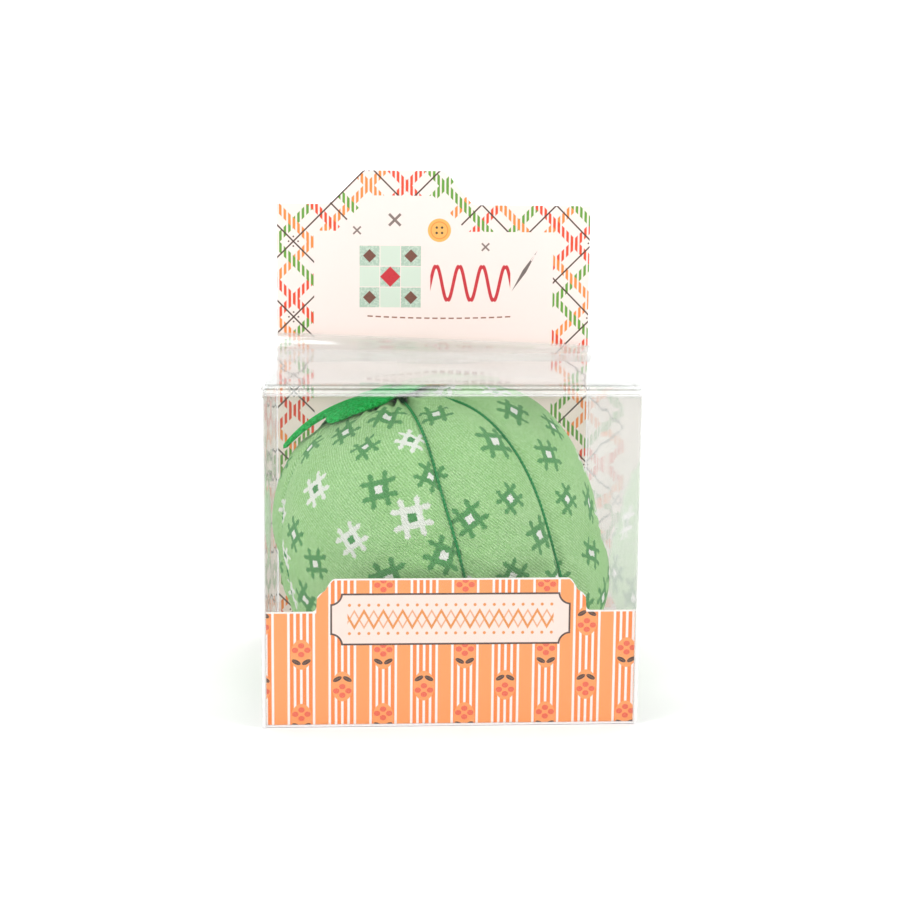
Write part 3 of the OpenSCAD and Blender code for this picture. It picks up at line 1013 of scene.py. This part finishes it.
# ---- stage -----------------------------------------------------------------------------------


def soft_light(name, place, aim, size, power):
    data = bpy.data.lights.new(name, "AREA")
    data.shape = "RECTANGLE"
    data.size, data.size_y = size
    data.energy = power
    light = bpy.data.objects.new(name, data)
    light.location = place
    direction = Vector(aim) - Vector(place)
    light.rotation_euler = direction.to_track_quat("-Z", "Y").to_euler()
    bpy.context.collection.objects.link(light)


def stage():
    """A white floor that runs up into the backdrop, with soft light from above and both sides."""
    g = Graph("pale_floor")
    g.surface(rgb(250, 250, 250), 0.9, Specular_IOR_Level=0.1)
    near, depth, rise, radius, width, steps = -1.6, 1.2, 1.6, 0.5, 3.0, 16
    gap = 0.2                                   # floor to the box's base, in millimetres
    line = [(near, 0.0), (depth - radius, 0.0)]
    for k in range(1, steps + 1):
        c = math.pi / 2 * k / steps
        line.append((depth - radius + radius * math.sin(c), radius - radius * math.cos(c)))
    line.append((depth, rise))
    verts = [(x / MM, y / MM, z / MM - gap) for y, z in line for x in (-width, width)]
    faces = [(2 * i, 2 * i + 1, 2 * i + 3, 2 * i + 2) for i in range(len(line) - 1)]
    floor = mesh_object("floor", verts, faces)
    paint(floor, g.material)

    world = bpy.data.worlds.new("studio")
    world.use_nodes = True
    background = world.node_tree.nodes["Background"]
    background.inputs[0].default_value = (1.0, 1.0, 1.0, 1)
    background.inputs[1].default_value = 0.39
    bpy.context.scene.world = world
    soft_light("left", (-0.80, -0.50, 0.65), (0, 0, 0.06), (0.5, 0.5), 4.8)
    soft_light("right", (0.85, -0.45, 0.60), (0, 0, 0.07), (0.5, 0.5), 4.6)
    soft_light("front", (0.0, -1.0, 0.45), (0, 0, 0.08), (0.5, 0.4), 1.7)
    soft_light("top", (0, 0.1, 1.1), (0, 0, 0.05), (0.7, 0.7), 4.6)
    soft_light("backdrop", (0, 0.35, 0.9), (0, 1.15, 0.35), (1.6, 0.5), 6.0)


def camera():
    """Camera in front, a little left of the middle and above the box, as in the photograph."""
    azimuth = math.radians(-3.766)
    elevation = math.radians(8.586)
    roll = math.radians(0.526)
    data = bpy.data.cameras.new("camera")
    data.sensor_width = 36.0
    data.lens = 67.94
    data.clip_start = 0.01
    eye = bpy.data.objects.new("camera", data)
    place = Vector((-0.0302, -0.495, 0.143))
    look = Euler((math.pi / 2 - elevation, 0, azimuth)).to_matrix()
    turn = Matrix.Rotation(roll, 3, "Z")
    eye.matrix_world = Matrix.Translation(place) @ (look @ turn).to_4x4()
    bpy.context.collection.objects.link(eye)
    bpy.context.scene.camera = eye


# ---- everything in its place -----------------------------------------------------------------

camera()
stage()

film = clear_film("clear_film", haze_and_painted_reflection_strength=0.02, wave=1.7, edge_tint=(0.88, 0.87, 0.855, 1), glare=0.02)
# the lid's strong white veil is partly milkiness and partly painted reflection
LID_LOOK = dict(haze_and_painted_reflection_strength=0.24, wave=0.9, edge_tint=(0.94, 0.945, 0.94, 1), glare=0.11)
lid_film = clear_film("lid_film", **LID_LOOK)
FILM_NODES = ["front_wall", "back_wall", "left_wall", "right_wall", "side_seam_flap", "bottom_panel",
              "bottom_tuck_flap", "bottom_dust_flap_left", "bottom_dust_flap_right"]
for node in FILM_NODES:
    paint(node, film)
for node in ("lid", "lid_tuck_flap"):
    paint(node, lid_film)
for node, corner in (("dust_flap_left", high), ("dust_flap_right", low)):
    paint(node, clear_film(node + "_film", cut_x=corner(node)[0], **LID_LOOK))
paint("card_front", striped_card())
paint("card_back", header_card())
paint("card_base", plain_card())

cotton = printed_cotton()
floss = green_floss()
felt = green_felt()

cover = cushion_cover()
paint(cover, cotton)
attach(cover, "cushion")
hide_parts("fabric_cover", "stuffing")

for make, nodes in (
        (floss_wraps, ["wrap_threads"]),
        (gathers, ["top_gather_thread", "bottom_gather_thread"]),
        (calyx_stitches, ["calyx_stitch"])):
    thread = make()
    paint(thread, floss)
    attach(thread, "cushion")
    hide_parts(*nodes)
paint("core_thread", floss)

leaf, leaf_cut, leaf_area = calyx()
paint(leaf, felt)
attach(leaf, "cushion")
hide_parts("leaf_calyx")

view = bpy.context.scene.view_settings
view.view_transform = "Standard"
view.look = "None"
bpy.context.scene.cycles.transparent_max_bounces = 32
